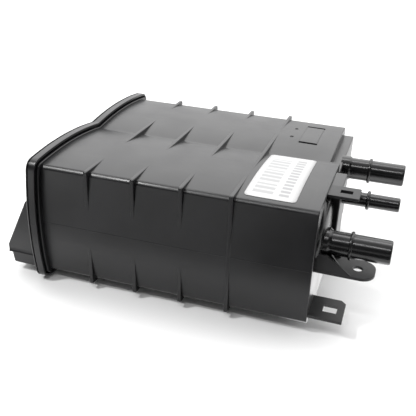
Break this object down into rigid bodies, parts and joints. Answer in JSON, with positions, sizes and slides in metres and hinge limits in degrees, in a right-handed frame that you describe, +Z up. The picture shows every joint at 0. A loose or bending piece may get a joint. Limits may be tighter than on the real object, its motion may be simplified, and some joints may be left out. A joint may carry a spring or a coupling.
{
  "type": "charcoal canister",
  "caption": "Black moulded fuel-vapour canister with hoop ribs, a welded end cap with a wedge foot, beaded hose spigots, slotted clip tabs and a gusseted ear.",
  "frame": {"origin": "middle of the base, under the centre of the bounding box", "axes": "+X towards the spigots, +Y from the front carbon room to the rear one, +Z up"},
  "size_m": [0.2698, 0.1924, 0.0977],
  "materials": {
    "black_plastic": "semi-matt black moulded nylon",
    "spring_steel": "bare spring wire",
    "carbon": "dull black carbon pellets",
    "fleece": "white felt",
    "foam": "dark open-cell foam",
    "grey_plastic": "grey moulded nylon",
    "paper": "white coated label paper"
  },
  "bodies": {
    "root": {"canister_body": "black_plastic", "end_cap": "black_plastic", "label": "paper", "carbon_bed_front": "carbon", "carbon_bed_rear": "carbon", "tank_filter": "fleece", "purge_filter": "fleece", "vent_filter": "fleece", "tank_grid": "grey_plastic", "purge_grid": "grey_plastic", "vent_grid": "grey_plastic", "cap_filter_front": "foam", "cap_filter_rear": "foam", "retention_plate_front": "grey_plastic", "retention_plate_rear": "grey_plastic", "spring_front_lower": "spring_steel", "spring_front_upper": "spring_steel", "spring_rear_lower": "spring_steel", "spring_rear_upper": "spring_steel"}
  },
  "joints": []
}
